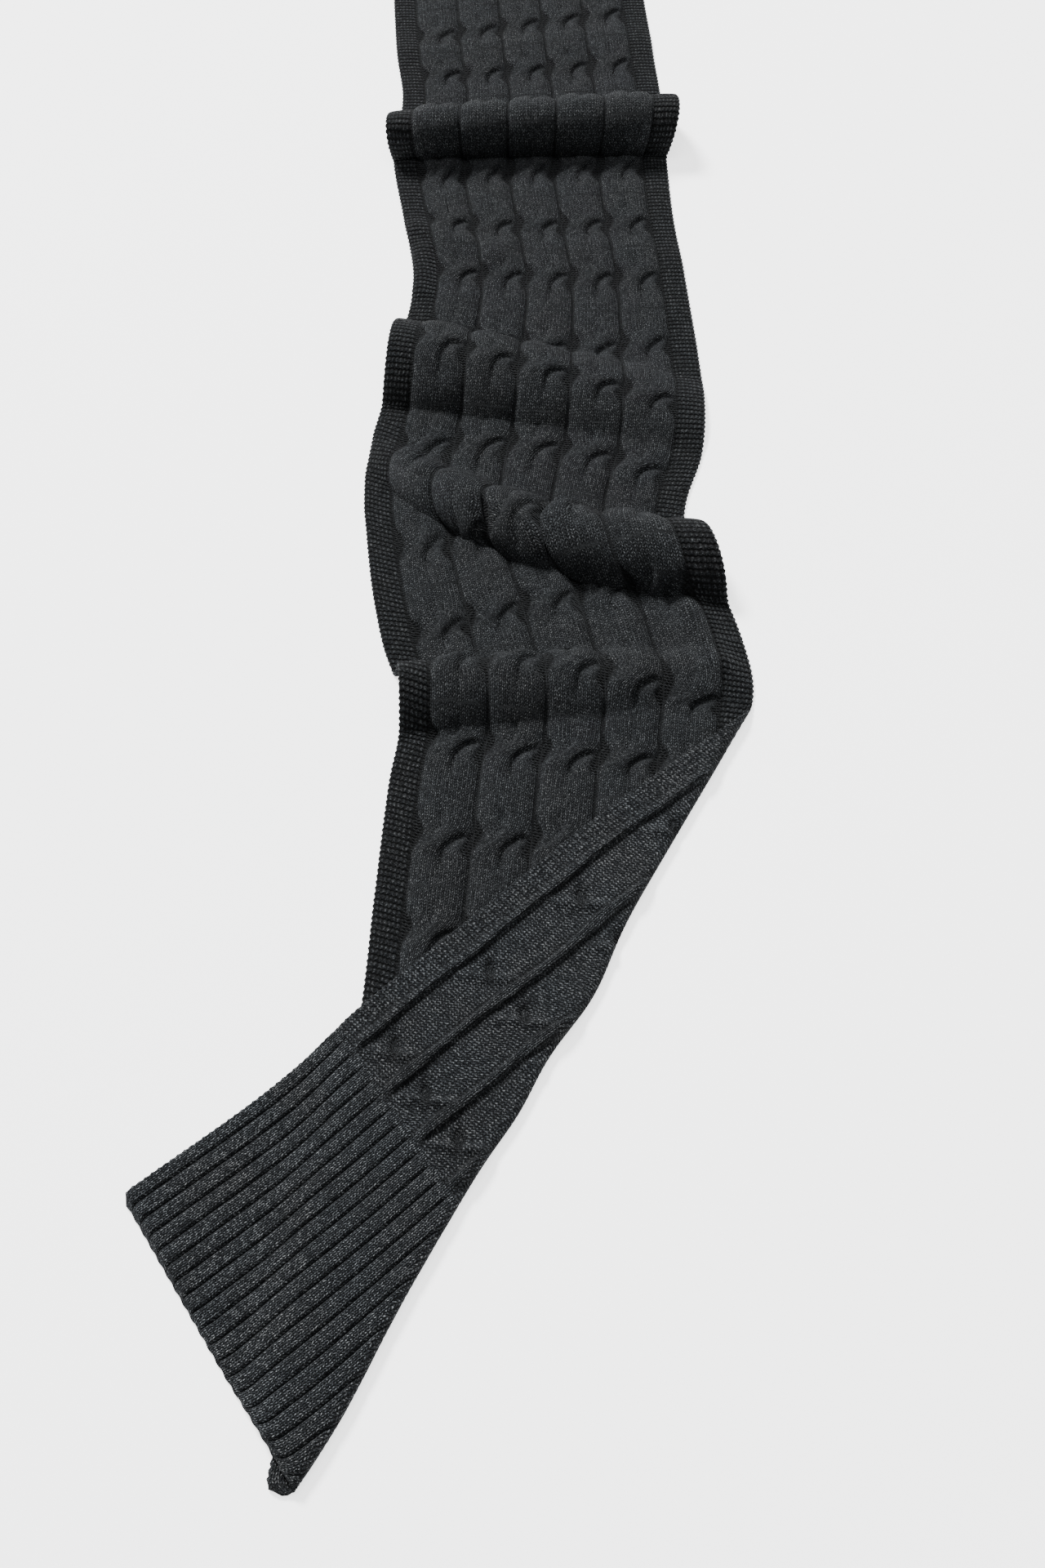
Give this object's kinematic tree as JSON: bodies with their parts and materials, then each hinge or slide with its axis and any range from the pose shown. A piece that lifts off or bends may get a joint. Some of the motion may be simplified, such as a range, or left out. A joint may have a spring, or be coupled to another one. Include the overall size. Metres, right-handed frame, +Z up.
{
  "type": "knit scarf",
  "caption": "Long cable-knit wool scarf laid on a table in soft waves, its near end turned over along a slanting fold to show the wrong side and the ribbed end.",
  "frame": {"origin": "on the table, under the middle of the laid scarf's box", "axes": "+X across the scarf to the viewer's right, +Y along it away from the viewer, +Z up from the table"},
  "size_m": [0.4348, 1.7532, 0.0492],
  "materials": {
    "wool_cable": "soft marled charcoal wool in cables",
    "wool_wrong_side": "soft marled charcoal wool, purl side",
    "wool_rib": "soft marled charcoal wool in ribs"
  },
  "bodies": {
    "root": {"far_rib_end": "wool_rib", "far_stretch": "wool_cable", "middle_stretch": "wool_cable", "swell_stretch": "wool_cable", "near_stretch": "wool_cable", "turned_stretch": "wool_wrong_side", "near_rib_under": "wool_rib", "near_rib_turned": "wool_rib"}
  },
  "joints": []
}
